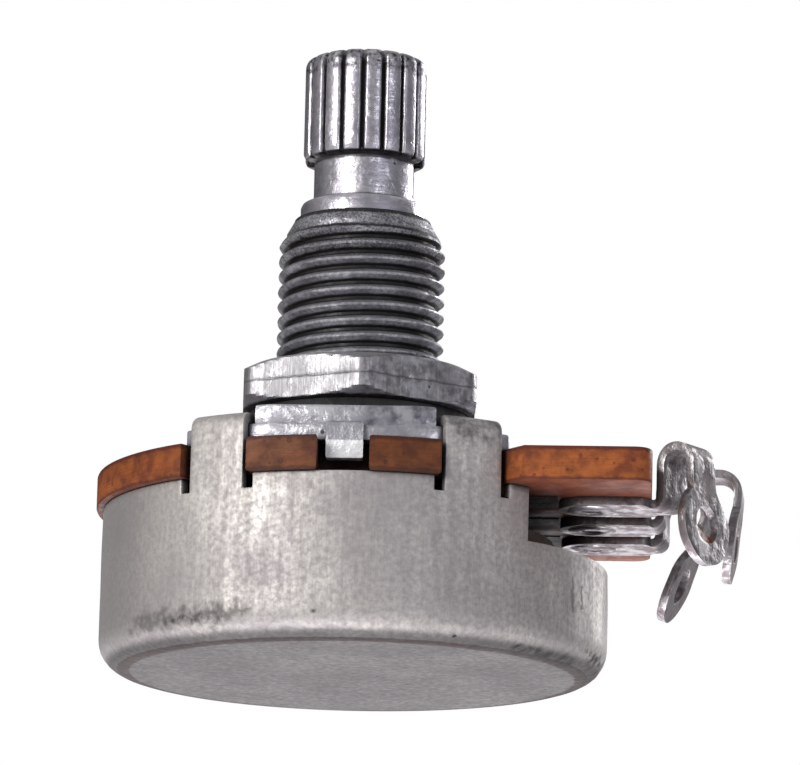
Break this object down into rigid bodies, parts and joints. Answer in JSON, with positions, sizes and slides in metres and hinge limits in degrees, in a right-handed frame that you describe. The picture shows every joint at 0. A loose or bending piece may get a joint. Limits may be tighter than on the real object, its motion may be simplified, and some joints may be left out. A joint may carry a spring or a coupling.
{
  "type": "rotary potentiometer",
  "caption": "Panel-mount rotary potentiometer: drawn metal cover, laminate board with bent solder terminals, threaded bushing with hex nut, and a knurled split shaft that turns.",
  "frame": {"origin": "centre of the rear cover's flat back, on the shaft axis", "axes": "+Z along the shaft towards its knurled end, +X towards the solder terminals, -Y towards the front side that the picture shows"},
  "size_m": [0.0307, 0.0244, 0.03],
  "materials": {
    "tinned_steel": "dull tin-plated sheet, mottled",
    "cast_zinc": "bright die-cast zinc",
    "laminate": "punched phenolic paper laminate",
    "carbon_film": "matt printed carbon",
    "silver_film": "matt printed silver",
    "terminal_tin": "tinned brass strip",
    "shaft_metal": "bright nickel plate on turned brass",
    "spring_bronze": "bare spring bronze",
    "dark_steel": "dark hardened steel",
    "nut_plate": "nickel-plated steel, scuffed",
    "rotor_moulding": "dark moulded plastic"
  },
  "bodies": {
    "housing": {"rear_cover": "tinned_steel", "bushing_plate": "cast_zinc", "terminal_board": "laminate", "carbon_track": "carbon_film", "collector_track": "silver_film", "end_pad_near": "silver_film", "end_pad_far": "silver_film", "terminal_near": "terminal_tin", "terminal_middle": "terminal_tin", "terminal_far": "terminal_tin", "eyelet_near": "terminal_tin", "eyelet_middle": "terminal_tin", "eyelet_far": "terminal_tin"},
    "shaft": {"control_shaft": "shaft_metal", "stop_washer": "nut_plate", "retaining_ring": "dark_steel", "rotor": "rotor_moulding", "contact_spring": "spring_bronze"},
    "washer": {"lock_washer": "dark_steel"},
    "nut": {"hex_nut": "nut_plate"}
  },
  "joints": [
    {"name": "shaft_turn", "type": "hinge", "parent": "housing", "child": "shaft", "pos_m": [0, 0, 0.006], "axis": [0, 0, 1], "range_deg": [-150, 150]},
    {"name": "nut_lead", "type": "slide", "parent": "housing", "child": "washer", "axis": [0, 0, 1], "range_m": [0, 0.0075]},
    {"name": "nut_turn", "type": "hinge", "parent": "washer", "child": "nut", "pos_m": [0, 0, 0.0124], "axis": [0, 0, 1], "range_deg": [0, 3600]}
  ],
  "couplings": [
    {"joint": "nut_turn", "follows": "nut_lead", "rad_per_m": 8377.6}
  ]
}
